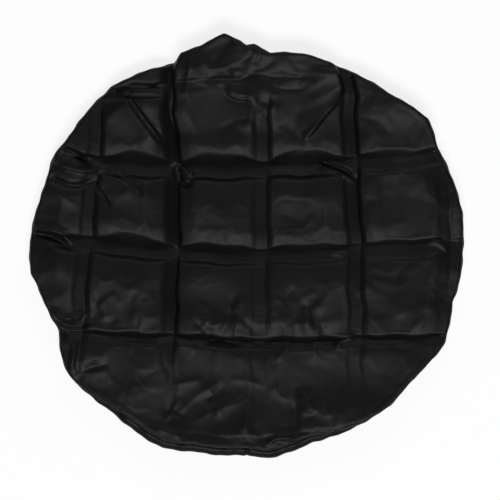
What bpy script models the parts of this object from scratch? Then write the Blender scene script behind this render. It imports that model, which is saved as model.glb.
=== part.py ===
"""Spare tire cover, empty and laid out flat with its face up.

A round face panel is sewn to a band that turns under at the edge and is gathered by an elastic
in a taped hem. The face keeps the square grid of folds from its packing. Metres, +Z up; the
cover lies on z = 0 with its origin under the middle of its outline.
"""

import math

import bmesh
import bpy
from mathutils import Vector
from mathutils.geometry import delaunay_2d_cdt

# Outline of the cover as it lies
MEAN_RADIUS = 0.355
STATIONS = 72
# Where the edge bulges and draws in: degrees from +X, then metres beyond the mean radius.
EDGE_CORNERS = (
    (0, 0.009), (9, 0.012), (27, 0.007), (35, 0.018), (48, -0.004), (63, -0.015),
    (72, -0.016), (80, -0.023), (90, -0.015), (96, 0.002), (103, -0.009), (111, -0.023),
    (120, -0.015), (130, -0.004), (149, -0.004), (154, 0.003), (163, -0.001), (180, 0.009),
    (187, 0.010), (191, 0.001), (204, -0.010), (211, 0.007), (216, 0.013), (231, 0.003),
    (247, 0.011), (256, 0.000), (270, -0.005), (276, 0.002), (289, -0.008), (301, -0.001),
    (312, 0.004), (321, 0.002), (334, 0.015), (345, 0.004), (352, 0.008),
)

# Cloth, tape, thread and the gap between sewn layers
CLOTH = 0.0009
TAPE = 0.0006
THREAD = 0.0008
GAP = 0.0003

# Tape that binds the two turned-in edges of the seam, and the strip above it for the stitches
BINDING_LEG = 0.005
STITCH_STRIP = 0.003
ALLOWANCE = CLOTH + STITCH_STRIP + BINDING_LEG

# Face panel: height of its sewn edge and of the folds, and the pillows between the folds
SEAM_HEIGHT = 0.021
FOLD_PITCH = 0.148
FOLD_SHIFT_X = 0.0225
FOLD_SHIFT_Y = -0.0185
FOLD_CHANNEL = 0.024
# Width of a pillow's steep side, and the share of its height that this side takes
FOLD_SIDE = 0.011
SIDE_SHARE = 0.6
# Spare cloth between two folds, as a share of their pitch, for a plain arch as high as the pillow
FOLD_SLACK = 0.0289
CROWN = FOLD_PITCH * math.sqrt(3 * FOLD_SLACK / 8)
EDGE_FALL = 0.035
LOBE_LIFT = 0.012
LOBE_DEPTH = 0.100
LOBE_SIDE = 0.012

# Band: the roll outside the seam, the part that lies flat, and the gathers towards the hem
ROLL_ROOM = 0.006
BINDING_REACH = GAP + 2 * (CLOTH + GAP) + TAPE
ROLL = BINDING_REACH + ROLL_ROOM + CLOTH
FLAT_LIP = 0.030
GATHER_HEIGHT = 0.008
LAP = 0.014
JOIN_ANGLES = (90, 270)

# Hem: the mouth, the elastic and the tape casing round it and the band's edge
MOUTH_RADIUS = 0.200
ELASTIC_WIDTH = 0.006
ELASTIC = 0.0012
ELASTIC_OVERLAP = 0.030
HEM_PLAY = 0.0015
HEM_BITE = 0.008
HEM_INSIDE = max(2 * ELASTIC + THREAD + 4 * GAP, 2 * CLOTH + 3 * GAP)
HEM_WIDTH = TAPE + HEM_INSIDE / 2 + ELASTIC_WIDTH + HEM_PLAY + HEM_BITE
BARTACK_TURNS = 5

BLACK_CLOTH = (0.014, 0.014, 0.015)
BLACK_TAPE = (0.010, 0.010, 0.011)
BLACK_ELASTIC = (0.018, 0.018, 0.018)
BLACK_THREAD = (0.022, 0.022, 0.023)

FULL_TURN = 360


def smooth(low, high, value):
    """0 below low, 1 above high and an S curve between; high may be the smaller one."""
    share = min(1.0, max(0.0, (value - low) / (high - low)))
    return share * share * (3 - 2 * share)


def edge_offset(angle):
    """How far the outline lies beyond the mean radius at an angle in degrees."""
    angle %= FULL_TURN
    corners = [(a, v) for a, v in EDGE_CORNERS]
    corners.append((corners[0][0] + FULL_TURN, corners[0][1]))
    for (a0, v0), (a1, v1) in zip(corners, corners[1:]):
        if a0 <= angle <= a1:
            return v0 + (v1 - v0) * smooth(a0, a1, angle)
    return corners[0][1]


STEP = FULL_TURN / STATIONS
STATION_ANGLES = [i * STEP for i in range(STATIONS)]


def outline_radius(angle):
    """Distance from the outline's pole to the straight edge between two stations."""
    whole, part = divmod(angle % FULL_TURN, STEP)
    first = MEAN_RADIUS + edge_offset(whole * STEP)
    second = MEAN_RADIUS + edge_offset((whole + 1) * STEP)
    part, rest, full = (math.radians(a) for a in (part, STEP - part, STEP))
    return first * second * math.sin(full) / (first * math.sin(part) + second * math.sin(rest))


def raw_point(angle):
    """A corner of the outline before it is centred."""
    radius = outline_radius(angle)
    turn = math.radians(angle)
    return radius * math.cos(turn), radius * math.sin(turn)


CENTRE = [(min(c) + max(c)) / 2 for c in zip(*(raw_point(a) for a in STATION_ANGLES))]


def seam_radius(angle):
    """Distance from the outline's pole to the sewn edge."""
    return outline_radius(angle) - ROLL - GAP


def polar(angle, radius, height):
    """A point at an angle in degrees about the outline's pole, in the part's frame."""
    turn = math.radians(angle)
    return Vector((radius * math.cos(turn) - CENTRE[0], radius * math.sin(turn) - CENTRE[1], height))


def pillow(place, shift):
    """0 in a fold's channel and 1 in the middle between two folds, along one axis."""
    steps = (place - shift) / FOLD_PITCH
    away = abs(steps - round(steps)) * FOLD_PITCH
    past = max(0.0, away - FOLD_CHANNEL / 2)
    side = 1 - (1 - min(1.0, past / FOLD_SIDE)) ** 1.5
    top = 1 - (1 - past / (FOLD_PITCH / 2 - FOLD_CHANNEL / 2)) ** 2
    return SIDE_SHARE * side + (1 - SIDE_SHARE) * top


def lobe(x, y):
    """1 on the loose lobe at the top of the face, between two folds, and 0 elsewhere."""
    left = FOLD_SHIFT_X - FOLD_PITCH
    right = FOLD_SHIFT_X + FOLD_PITCH
    bottom = FOLD_SHIFT_Y + 2 * FOLD_PITCH - LOBE_DEPTH
    across = smooth(left, left + LOBE_SIDE, x) * smooth(right, right - LOBE_SIDE, x)
    return across * smooth(bottom, bottom + LOBE_DEPTH, y)


def face_height(x, y, inside):
    """Height of the face; inside is the distance from the sewn edge."""
    raised = CROWN * pillow(x, FOLD_SHIFT_X) * pillow(y, FOLD_SHIFT_Y) + LOBE_LIFT * lobe(x, y)
    return SEAM_HEIGHT + raised * smooth(0, EDGE_FALL, inside)


def material(name, colour, roughness):
    """A plain woven or coated finish."""
    made = bpy.data.materials.new(name)
    made.use_nodes = True
    shader = made.node_tree.nodes["Principled BSDF"]
    shader.inputs["Base Color"].default_value = (*colour, 1)
    shader.inputs["Roughness"].default_value = roughness
    shader.inputs["Metallic"].default_value = 0
    return made


def add_object(name, data, finish):
    made = bpy.data.objects.new(name, data)
    bpy.context.scene.collection.objects.link(made)
    data.materials.append(finish)
    return made


def add_sheet(name, grid, closed, thickness, finish):
    """A sheet through rows of points, thickened on the side that its faces turn away from."""
    bm = bmesh.new()
    rows = [[bm.verts.new(p) for p in row] for row in grid]
    if closed:
        rows.append(rows[0])
    for row, after in zip(rows, rows[1:]):
        for i in range(len(row) - 1):
            bm.faces.new((row[i], row[i + 1], after[i + 1], after[i]))
    return thicken(name, bm, thickness, finish)


def thicken(name, bm, thickness, finish):
    mesh = bpy.data.meshes.new(name)
    bm.to_mesh(mesh)
    bm.free()
    mesh.shade_smooth()
    made = add_object(name, mesh, finish)
    solidify = made.modifiers.new("Cloth thickness", "SOLIDIFY")
    solidify.thickness = thickness
    solidify.offset = -1
    solidify.use_even_offset = True
    return made


def add_thread(name, points, closed, finish):
    """A sewing thread along a line of points."""
    curve = bpy.data.curves.new(name, "CURVE")
    curve.dimensions = "3D"
    curve.bevel_depth = THREAD / 2
    curve.bevel_resolution = 0
    curve.use_fill_caps = True
    spline = curve.splines.new("POLY")
    spline.points.add(len(points) - 1)
    for spot, point in zip(spline.points, points):
        spot.co = (*point, 1)
    spline.use_cyclic_u = closed
    return add_object(name, curve, finish)


def fold_lines(shift, reach):
    """Places along one axis where the face's mesh needs a line: channel edges, pillow sides and tops."""
    half = FOLD_CHANNEL / 2
    free = FOLD_PITCH / 2 - half
    across = (-half, half, half + FOLD_SIDE, half + free, half + 2 * free - FOLD_SIDE)
    count = math.ceil(reach / FOLD_PITCH) + 1
    places = [shift + k * FOLD_PITCH + a for k in range(-count, count + 1) for a in across]
    return [p for p in places if abs(p) < reach]


def make_face_panel(finish):
    """The round face with its pillows, and its allowance turned down inside the seam."""
    rings = (0.0, 0.25 * EDGE_FALL, 0.7 * EDGE_FALL)
    flat = [polar(a, seam_radius(a) - inset, inset) for inset in rings for a in STATION_ANGLES]
    reach = MEAN_RADIUS + max(v for _, v in EDGE_CORNERS)
    for x in fold_lines(FOLD_SHIFT_X, reach):
        for y in fold_lines(FOLD_SHIFT_Y, reach):
            angle = math.degrees(math.atan2(y + CENTRE[1], x + CENTRE[0]))
            inside = seam_radius(angle) - math.hypot(x + CENTRE[0], y + CENTRE[1])
            if inside > EDGE_FALL:
                flat.append(Vector((x, y, inside)))
    border = [(i, (i + 1) % STATIONS) for i in range(STATIONS)]
    only_inside = 1
    made = delaunay_2d_cdt([p.xy for p in flat], border, [], only_inside, 1e-6)
    bm = bmesh.new()
    top = [bm.verts.new((p.x, p.y, face_height(p.x, p.y, p.z))) for p in flat]
    for triangle in made[2]:
        bm.faces.new([top[made[3][i][0]] for i in triangle])
    turned = [bm.verts.new((v.co.x, v.co.y, SEAM_HEIGHT - ALLOWANCE)) for v in top[:STATIONS]]
    for i, j in border:
        bm.faces.new((top[j], top[i], turned[i], turned[j]))
    bmesh.ops.recalc_face_normals(bm, faces=bm.faces)
    if sum(f.normal.z * f.calc_area() for f in bm.faces) < 0:
        bmesh.ops.reverse_faces(bm, faces=bm.faces)
    return thicken("front_panel", bm, CLOTH, finish)


HEM_OUTSIDE = MOUTH_RADIUS + HEM_WIDTH
HEM_MIDDLE = TAPE + HEM_INSIDE / 2
FOLD_INSIDE = MOUTH_RADIUS + TAPE + HEM_INSIDE / 2
ELASTIC_INSIDE = FOLD_INSIDE + GAP


def set_in(section, inset):
    """The same line moved into the cover: to the right of the way it runs, in radius and height."""
    steps = [(b - a).normalized() for a, b in zip(section, section[1:])]
    moved = []
    for i, point in enumerate(section):
        before = steps[max(i - 1, 0)]
        after = steps[min(i, len(steps) - 1)]
        right = Vector((before.y + after.y, -before.x - after.x))
        moved.append(point + right * (inset / (1 + before.dot(after))))
    return moved


def band_line(angle, lift, inset):
    """The band's outer side in section, from its allowance round the roll to the hem.

    lift is the height of a gather, and inset moves the line into the cover for a lapped end.
    """
    seam = seam_radius(angle) + GAP
    lip = seam - FLAT_LIP
    run = lip - HEM_OUTSIDE
    low = TAPE + GAP
    section = [Vector(place) for place in (
        (seam, SEAM_HEIGHT - ALLOWANCE),
        (seam, SEAM_HEIGHT),
        (seam + 0.55 * ROLL, 0.93 * SEAM_HEIGHT),
        (seam + ROLL, 0.55 * SEAM_HEIGHT),
        (seam + 0.80 * ROLL, 0.18 * SEAM_HEIGHT),
        (seam + 0.20 * ROLL, 0),
        (lip, 0),
        (lip - 0.40 * run, 0.55 * lift),
        (lip - 0.85 * run, lift),
        (HEM_OUTSIDE + GAP, low),
        (HEM_OUTSIDE - HEM_BITE, low),
    )]
    return [polar(angle, place.x, place.y) for place in set_in(section, inset)]


def make_band_half(name, start, stop, finish):
    """Half of the band; its first end tucks under the other half's last end as a lap."""
    count = round((stop - start) / STEP)
    lap = math.degrees(LAP / MEAN_RADIUS)
    clear = math.degrees(GAP / MOUTH_RADIUS)
    under = CLOTH + GAP
    rows = [band_line(start - lap, 0, under), band_line(start + clear, 0, under)]
    rows.append(band_line(start + lap / 2, 0, 0))
    for i in range(1, count):
        gathered = i % 2 and 1 < i < count - 1
        rows.append(band_line(start + i * STEP, GATHER_HEIGHT * gathered, 0))
    rows += [band_line(stop - lap, 0, 0), band_line(stop, 0, 0)]
    return add_sheet(name, rows, False, CLOTH, finish)


def make_join_thread(name, angle, finish):
    """The row of stitches down a lapped end of the band, on its inner side."""
    middle = angle - math.degrees(LAP / MEAN_RADIUS) / 2
    line = band_line(middle, 0, 2 * (CLOTH + GAP) + THREAD / 2)
    return add_thread(name, line[3:9], False, finish)


def make_binding(finish):
    """Tape folded round the two turned-in edges at the seam."""
    foot = SEAM_HEIGHT - ALLOWANCE - GAP
    rows = []
    for angle in STATION_ANGLES:
        seam = seam_radius(angle)
        inner = seam - CLOTH - GAP
        outer = seam + BINDING_REACH - TAPE
        top = foot + BINDING_LEG
        corners = ((inner, top), (inner, foot), (outer, foot), (outer, top))
        rows.append([polar(angle, radius, height) for radius, height in corners])
    return add_sheet("seam_binding", rows, True, TAPE, finish)


def make_seam_thread(finish):
    """The row of stitches inside the seam, above the binding."""
    height = SEAM_HEIGHT - CLOTH - STITCH_STRIP / 2
    out = CLOTH + GAP + THREAD / 2
    points = [polar(a, seam_radius(a) - out, height) for a in STATION_ANGLES]
    return add_thread("panel_seam_thread", points, True, finish)


def make_hem_casing(finish):
    """Tape folded over the band's edge and the elastic, open towards the band."""
    top = TAPE + HEM_INSIDE
    section = (
        (HEM_OUTSIDE, top),
        (FOLD_INSIDE, top),
        (MOUTH_RADIUS + TAPE, HEM_MIDDLE),
        (FOLD_INSIDE, TAPE),
        (HEM_OUTSIDE, TAPE),
    )
    rows = [[polar(a, radius, height) for radius, height in section] for a in STATION_ANGLES]
    return add_sheet("hem_casing", rows, True, TAPE, finish)


def make_elastic(finish):
    """Flat elastic round the mouth, its last end lying over its first."""
    inner = ELASTIC_INSIDE
    low = TAPE + GAP
    high = low + ELASTIC + GAP
    overlap = math.degrees(ELASTIC_OVERLAP / inner)
    under = [a for a in STATION_ANGLES if a < overlap] + [overlap]
    places = [(a, low) for a in under]
    places += [(a, low) for a in STATION_ANGLES if a > overlap]
    places.append((FULL_TURN - math.degrees(GAP / inner), high))
    places += [(FULL_TURN + a, high) for a in under]
    rows = []
    for angle, height in places:
        rows.append([polar(angle, inner + ELASTIC_WIDTH, height), polar(angle, inner, height)])
    return add_sheet("hem_elastic", rows, False, ELASTIC, finish)


def make_bartack(finish):
    """The zigzag of stitches over the elastic's overlapped ends."""
    height = TAPE + 2 * (GAP + ELASTIC) + GAP + THREAD / 2
    overlap = math.degrees(ELASTIC_OVERLAP / ELASTIC_INSIDE)
    near = ELASTIC_INSIDE + THREAD
    far = ELASTIC_INSIDE + ELASTIC_WIDTH - THREAD
    points = []
    for i in range(2 * BARTACK_TURNS + 1):
        share = 0.25 + 0.5 * i / (2 * BARTACK_TURNS)
        points.append(polar(share * overlap, far if i % 2 else near, height))
    return add_thread("elastic_bartack", points, False, finish)


def make_hem_thread(finish):
    """The row of stitches that closes the casing, on its upper side."""
    radius = HEM_OUTSIDE - HEM_BITE / 2
    height = 2 * TAPE + HEM_INSIDE + GAP + THREAD / 2
    points = [polar(a, radius, height) for a in STATION_ANGLES]
    return add_thread("hem_thread", points, True, finish)


def main():
    for old in list(bpy.data.objects):
        bpy.data.objects.remove(old)
    cloth = material("coated cloth", BLACK_CLOTH, 0.5)
    tape = material("woven tape", BLACK_TAPE, 0.7)
    rubber = material("braided elastic", BLACK_ELASTIC, 0.8)
    thread = material("sewing thread", BLACK_THREAD, 0.6)
    top_join, bottom_join = JOIN_ANGLES
    make_face_panel(cloth)
    make_band_half("band_left", top_join, bottom_join, cloth)
    make_band_half("band_right", bottom_join, top_join + FULL_TURN, cloth)
    make_binding(tape)
    make_seam_thread(thread)
    make_join_thread("join_thread_top", top_join, thread)
    make_join_thread("join_thread_bottom", bottom_join, thread)
    make_hem_casing(tape)
    make_elastic(rubber)
    make_bartack(thread)
    make_hem_thread(thread)


main()
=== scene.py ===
"""Looks of a soft spare tire cover that lies empty and flat, face up, with its packing folds.

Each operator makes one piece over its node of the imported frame, in metres, +Z up.
"""

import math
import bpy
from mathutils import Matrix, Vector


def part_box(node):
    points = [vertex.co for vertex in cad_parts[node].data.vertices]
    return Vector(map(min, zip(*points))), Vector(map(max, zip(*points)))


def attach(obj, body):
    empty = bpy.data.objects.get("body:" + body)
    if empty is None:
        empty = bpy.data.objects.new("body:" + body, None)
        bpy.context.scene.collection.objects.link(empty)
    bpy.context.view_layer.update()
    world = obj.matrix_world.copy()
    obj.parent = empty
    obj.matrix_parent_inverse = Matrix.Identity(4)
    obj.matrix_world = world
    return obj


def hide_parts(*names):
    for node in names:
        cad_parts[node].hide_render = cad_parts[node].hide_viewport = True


bl_info = {
    "name": "Spare Tire Cover",
    "version": (1, 0, 0),
    "blender": (4, 5, 0),
    "location": "View3D > Sidebar > Tire Cover",
    "description": "Dresses the frame of a spare tire cover in folded cloth, tape, elastic and stitches",
    "category": "Object",
}

import bmesh
import bpy
import numpy as np
from bpy.props import FloatProperty, FloatVectorProperty, IntProperty, PointerProperty
from mathutils import Vector
from mathutils.geometry import delaunay_2d_cdt

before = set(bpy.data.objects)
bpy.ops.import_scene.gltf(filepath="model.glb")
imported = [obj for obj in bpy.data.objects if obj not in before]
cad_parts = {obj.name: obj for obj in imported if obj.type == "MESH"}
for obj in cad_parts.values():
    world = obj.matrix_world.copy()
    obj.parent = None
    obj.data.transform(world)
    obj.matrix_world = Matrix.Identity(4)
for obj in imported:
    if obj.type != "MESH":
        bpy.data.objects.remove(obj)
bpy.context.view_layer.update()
BODY = "root"
MM = 0.001

# The hem's ring is round, so the middle of its box is the pole that the outline is drawn about.
HEM_LOW, HEM_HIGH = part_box("hem_casing")
POLE = (Vector(HEM_LOW) + Vector(HEM_HIGH)) / 2
HEM_RADIUS = (HEM_HIGH[0] - HEM_LOW[0]) / 2

# Where the edge bulges and draws in: degrees from +X, then millimetres beyond the mean radius.
EDGE_CORNERS = (
    (0, 9), (9, 12), (27, 7), (35, 18), (48, -4), (63, -15), (72, -16), (80, -23), (83, -27), (85, -22),
    (88, -14), (90, -16), (92, -8), (96, 5), (103, -9), (108.5, -11), (111.5, -24), (114, -22), (119, -15),
    (130, -4), (149, -4), (154, 3), (163, -1), (180, 9), (187, 10), (191, 1), (204, -10), (211, 7),
    (216, 13), (231, 3), (247, 11), (256, 0), (270, -5), (276, 2), (289, -8), (301, -1), (312, 4),
    (321, 2), (334, 15), (345, 4), (352, 8),
)
# The edge runs straight between its corners, apart from this share of an S curve.
CORNER_SOFTNESS = 0.3

# How much of its height the face keeps along the edge: degrees from +X, then a share.
EDGE_LEVEL = (
    (0, 0.7), (40, 1.1), (60, 1.1), (80, 1.0), (110, 1.0), (140, 0.95), (180, 0.7), (220, 0.85),
    (262, 1.15), (300, 1.15), (330, 0.95), (360, 0.7),
)
# The bottom edge, where the band shows: its middle, and how far to its sides it ends and is in full.
BOTTOM_MIDDLE = 262
BOTTOM_END = 48
BOTTOM_FULL = 22
# Height of the seam in metres, how much higher it is at the bottom, and how far the face's rim is above it.
SEAM_HEIGHT = 0.013
BOTTOM_RISE = 0.006
RIM_RISE = 0.006

# Packing folds, in millimetres. Folds that run up the face are given by x at these heights.
FOLD_HEIGHTS = (-322, -164, -17, 127, 254, 312)
UP_FOLDS = (
    (-301, -290, -276, -261, -251, -245),
    (-144, -136, -128, -126, -133, -133),
    (18, 16, 19, 21, 23, 26),
    (173, 178, 178, 171, 166, 153),
    (306, 320, 328, 325, 323, 323),
)
# Folds that run across the face are given by y at these places.
FOLD_PLACES = (-345, -270, -128, 19, 173, 323)
CROSS_FOLDS = (
    (-297, -309, -319, -329, -309, -281),
    (-147, -155, -160, -169, -164, -160),
    (15, 2, -13, -20, -12, 0),
    (149, 137, 127, 127, 135, 149),
    (229, 245, 261, 276, 271, 254),
)
# How sharp each stretch of a fold still is, between one crossing and the next.
UP_STRENGTH = (
    (0.0, 0.15, 0.45, 0.45, 0.5, 0.3),
    (0.0, 0.08, 0.8, 1.25, 1.25, 1.0),
    (0.0, 0.08, 0.3, 0.5, 0.5, 0.1),
    (0.05, 0.12, 0.45, 0.8, 0.8, 0.4),
    (0.0, 0.1, 0.1, 0.25, 0.1, 0.0),
)
CROSS_STRENGTH = (
    (0.0, 0.0, 0.1, 0.1, 0.0, 0.0),
    (0.3, 0.65, 0.75, 0.7, 0.65, 0.2),
    (0.5, 1.2, 1.05, 0.85, 0.55, 0.3),
    (0.4, 1.2, 1.2, 1.25, 0.6, 0.2),
    (0.2, 0.7, 0.08, 0.05, 0.05, 0.0),
)
# From a fold's middle to its crease, for folds up the face and across it.
UP_HALF = 13
CROSS_HALF = 11
# The low floor beside each crease and the soft flank behind the floor, and how far a floor tilts up.
UP_FLOOR = (16, 14, 18, 18, 16)
UP_FLANK = (8, 12, 10, 8, 10)
UP_TILT = 0.42
CROSS_FLOOR = (14, 7, 19, 21, 12)
CROSS_FLANK = 9
CROSS_TILT = 0.32
# The steep edge over a crease, what a soft fold adds to it, and how far the pillows on both sides swell.
STEEP_EDGE = 4
SOFT_EDGE = 12
HIGH_SWELL = 38
LOW_SWELL = 45
# How far past the outer crossings a fold's last stretch reaches.
FOLD_END = 75
# The middle fold up the face fades out between these heights, under the flap's crumples.
MIDDLE_FOLD = 2
MIDDLE_FOLD_FADE = (236, 262)
# A fold at least this sharp has a chain of mesh points along its crease.
SHARP_FOLD = 0.42
# Extra width of the dark edge above each fold across the face, between one crossing and the next.
LENS_WIDTH = (
    (0, 2, 2, 2, 2, 0),
    (1, 3, 4, 4, 3, 1),
    (3, 17, 9, 8, 5, 3),
    (3, 16, 16, 19, 8, 2),
    (1, 3, 1, 1, 1, 0),
)
# It narrows to nothing over this distance beside each fold up the face.
LENS_RUN = 60
# Height and mean length of the soft unevenness of the pillows.
UNEVEN_HEIGHT = 1.6
UNEVEN_LENGTH = 130
# No fold of the face sinks below this height, which keeps it clear of the gathers under it.
LOWEST_FOLD = 10.5
# Sides of the raised flap at the top, at these heights, and how soft they are.
FLAP_HEIGHTS = (190, 229, 254, 296, 332)
FLAP_LEFT = (-117, -120, -121, -120, -114)
FLAP_RIGHT = (95, 140, 160, 148, 140)
FLAP_SIDE = 4
# Between these heights the flap starts, its foot sinks and its slope rises.
FLAP_START = (140, 200)
FLAP_FOOT = (145, 200)
FLAP_SLOPE = (190, 320)
# The face sags in a dish from this distance to its middle.
DISH_RADIUS = 300

# Lines with two creases side by side, and the buckles along a fold at the bottom.
SIDE_TUCK = ((-211, 269), (-190, 235), (-161, 195), (-134, 162))
FLAP_TUCK = ((-41, 262), (-14, 250), (1, 249), (19, 237))
BUCKLES = (
    (-119, -152), (-86, -164), (-53, -157), (-19, -162), (6, -165), (19, -162), (48, -167), (73, -164),
    (99, -167),
)
# Single creases: line in millimetres, rise, reach to its left and right, and lean over its steeper side.
CREASES = (
    (SIDE_TUCK, 9, 3.5, 24, 4.0),
    (SIDE_TUCK, -8, 9, 2, 0),
    (((-336, 178), (-311, 167), (-281, 154), (-250, 130)), -7, 3, 5, 0),
    (((-350, 148), (-325, 142), (-278, 129), (-222, 131)), 8, 8, 4, 2.0),
    (((-345, 122), (-318, 112), (-285, 102), (-245, 116)), -6, 4, 6, 0),
    (((-225, 125), (-195, 109), (-170, 84)), -4.5, 4, 4, 0),
    (((-253, 104), (-241, 87), (-228, 65)), -4, 4, 4, 0),
    (((-376, 38), (-340, 31), (-312, 24), (-285, 2)), 7, 6, 3.5, 2.0),
    (((-365, 20), (-330, 18), (-285, -6)), -5, 4, 5, 0),
    (((-119, 142), (-114, 121), (-104, 104), (-88, 112)), -8, 4, 5, 0),
    (((-110, 138), (-98, 124), (-84, 122)), 5, 6, 4, 1.5),
    (((112, 148), (140, 138), (168, 127), (192, 106)), -6, 3, 4, 0),
    (((116, 134), (150, 126), (188, 108)), 4, 5, 3.5, 1.0),
    (FLAP_TUCK, 5, 14, 2.5, 3.0),
    (FLAP_TUCK, -3, 1.5, 7, 0),
    (((-74, 274), (-44, 279), (-11, 279), (9, 286)), -4, 4, 4, 0),
    (((-108, 345), (-119, 300), (-121, 256), (-120, 225), (-116, 180)), 4, 40, 3.0, 5.0),
    (((144, 307), (149, 279), (161, 249)), 5, 3.5, 40, 4.0),
    (((161, 245), (131, 224), (94, 175)), 6, 3, 30, 3.0),
    (((-88, 300), (-50, 296), (-8, 309), (36, 326)), 3, 14, 9, 0),
    (((-20, 352), (0, 332), (18, 318)), 5, 5, 22, 2.0),
    (((26, 284), (73, 282), (118, 284)), -1.6, 3, 3, 0),
    (((36, 266), (73, 262), (109, 266)), -1, 3, 3, 0),
    (BUCKLES, -2, 3, 8, 0),
    (((-250, -157), (-195, -155), (-134, -157)), -1.5, 3, 6, 0),
    (((185, -165), (240, -164), (310, -162)), -2, 3, 6, 0),
    (((144, -169), (161, -155), (185, -149)), 5, 5, 5, 0),
    (((296, 6), (318, 7), (340, -12)), 2.5, 6, 4, 0),
    (((132, -10), (156, -12), (178, -28)), 2.5, 6, 5, 0),
    (((-311, -142), (-288, -165), (-293, -215)), 5, 8, 6, 0),
    (((-290, -212), (-253, -199), (-225, -195)), -2.5, 8, 9, 0),
    (((-328, -97), (-301, -119), (-258, -109)), 4, 5, 5, 0),
    (((-331, -109), (-295, -132), (-253, -125)), -4, 5, 5, 0),
    (((-128, -292), (-84, -250), (-30, -215)), 2, 10, 14, 0),
    (((-105, -300), (-50, -272), (10, -252)), 1.6, 9, 12, 0),
    (((-161, -302), (-124, -309), (-108, -322)), 4, 6, 6, 0),
    (((26, -332), (56, -317), (89, -322)), 5, 6, 6, 0),
    (((-211, 271), (-170, 269), (-124, 266)), -3.5, 3, 3, 0),
    (((-208, 252), (-170, 250), (-131, 252)), -4, 4, 3, 0),
)
# Crumpled places: middle and half size in millimetres, number of creases, their height and direction.
CRUMPLES = (
    (-203, -110, 55, 40, 9, 2.0, 80),
    (-53, -122, 60, 32, 9, 2.0, 60),
    (114, -118, 55, 50, 11, 2.2, 95),
    (250, -100, 60, 50, 7, 1.4, 60),
    (-295, -160, 40, 80, 10, 1.6, 40),
    (-78, -255, 90, 50, 12, 2.0, 35),
    (89, -280, 100, 45, 13, 2.2, 120),
    (-290, 118, 55, 45, 7, 1.6, 150),
    (-40, 300, 75, 35, 9, 2.2, 40),
    (95, 265, 75, 45, 8, 1.4, 20),
    (120, 40, 55, 50, 6, 1.2, 130),
    (250, 90, 60, 60, 7, 1.2, 40),
    (-150, 60, 60, 40, 4, 0.8, 30),
    (20, 190, 80, 40, 6, 1.2, 45),
    (-20, -132, 110, 9, 10, 1.7, 0),
)

# Where one strip of the band runs under the other, in degrees, how far, and how deep inside it in metres.
LAPS = {"top": 90, "bottom": 270}
LAP_LENGTH = 2.3
LAP_DEPTH = 0.0013
# Beside a lap the band lies flat up to the first angle, and its gathers are in full from the second.
LAP_FLAT = 3
LAP_GATHERED = 8
# The stitches of a lap: degrees from its end, height over the outer strip, and rows of the band's section.
JOIN_INSET = 1.1
JOIN_HEIGHT = 0.0025
JOIN_ROWS = slice(9, 24)
# The band's roll is at least this wide; under the cover the band starts this far inside the seam.
NARROWEST_ROLL = 0.002
LIP = 0.012
# The band's height over the floor at the hem, and how far its edge reaches into the casing.
HEM_CLEAR = 0.0009
HEM_REACH = 0.006

# The seam's folded tape in metres: its place inside and below the seam, its width and its rounded turn.
BINDING_INSET = 0.0012
BINDING_DROP = 0.0030
BINDING_WIDTH = 0.0034
BINDING_TURN = 0.0008
# From the casing's outer edge to its stitches.
HEM_SEAM = 0.004
# Ribs across the elastic, and their height.
RIBS = 12
RIB_HEIGHT = 0.0001
# Stitches in metres: how far each row lies over its tape or elastic, and inside the edges beside it.
SEAM_STITCH_LIFT = 0.0012
SEAM_STITCH_INSET = 0.0020
HEM_STITCH_LIFT = 0.0006
BARTACK_LIFT = 0.0005
BARTACK_INSET = 0.0010

# Lamps: place and size in metres; and the strength of the even light from all round.
KEY_PLACE = (0.1, -2.7, 5.0)
KEY_SIZE = (2.8, 1.5)
FILL_PLACE = (0.3, 2.2, 1.6)
FILL_SIZE = (2.0, 1.0)
WORLD_STRENGTH = 0.12
# The share of the floor's white that is glow where the camera sees it; the rest is paint with shadows.
FLOOR_GLOW = 0.80
FLOOR_HALF = 6
FLOOR_DROP = 0.0005
# The point over which the camera hangs, and the height at which the frame's width is measured.
CAMERA_OVER = (0.0058, -0.0050)
FACE_LEVEL = 0.025
SENSOR_WIDTH = 36

# Ribbed finishes: colour, roughness, distance between ribs and their depth in metres.
RIBBED_FINISHES = {
    "woven_tape": ((0.010, 0.010, 0.011), 0.7, 0.0009, 0.0003),
    "braided_elastic": ((0.018, 0.018, 0.018), 0.8, 0.0012, 0.0004),
    "sewing_thread": ((0.022, 0.022, 0.023), 0.6, 0.0004, 0.0001),
}


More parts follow.
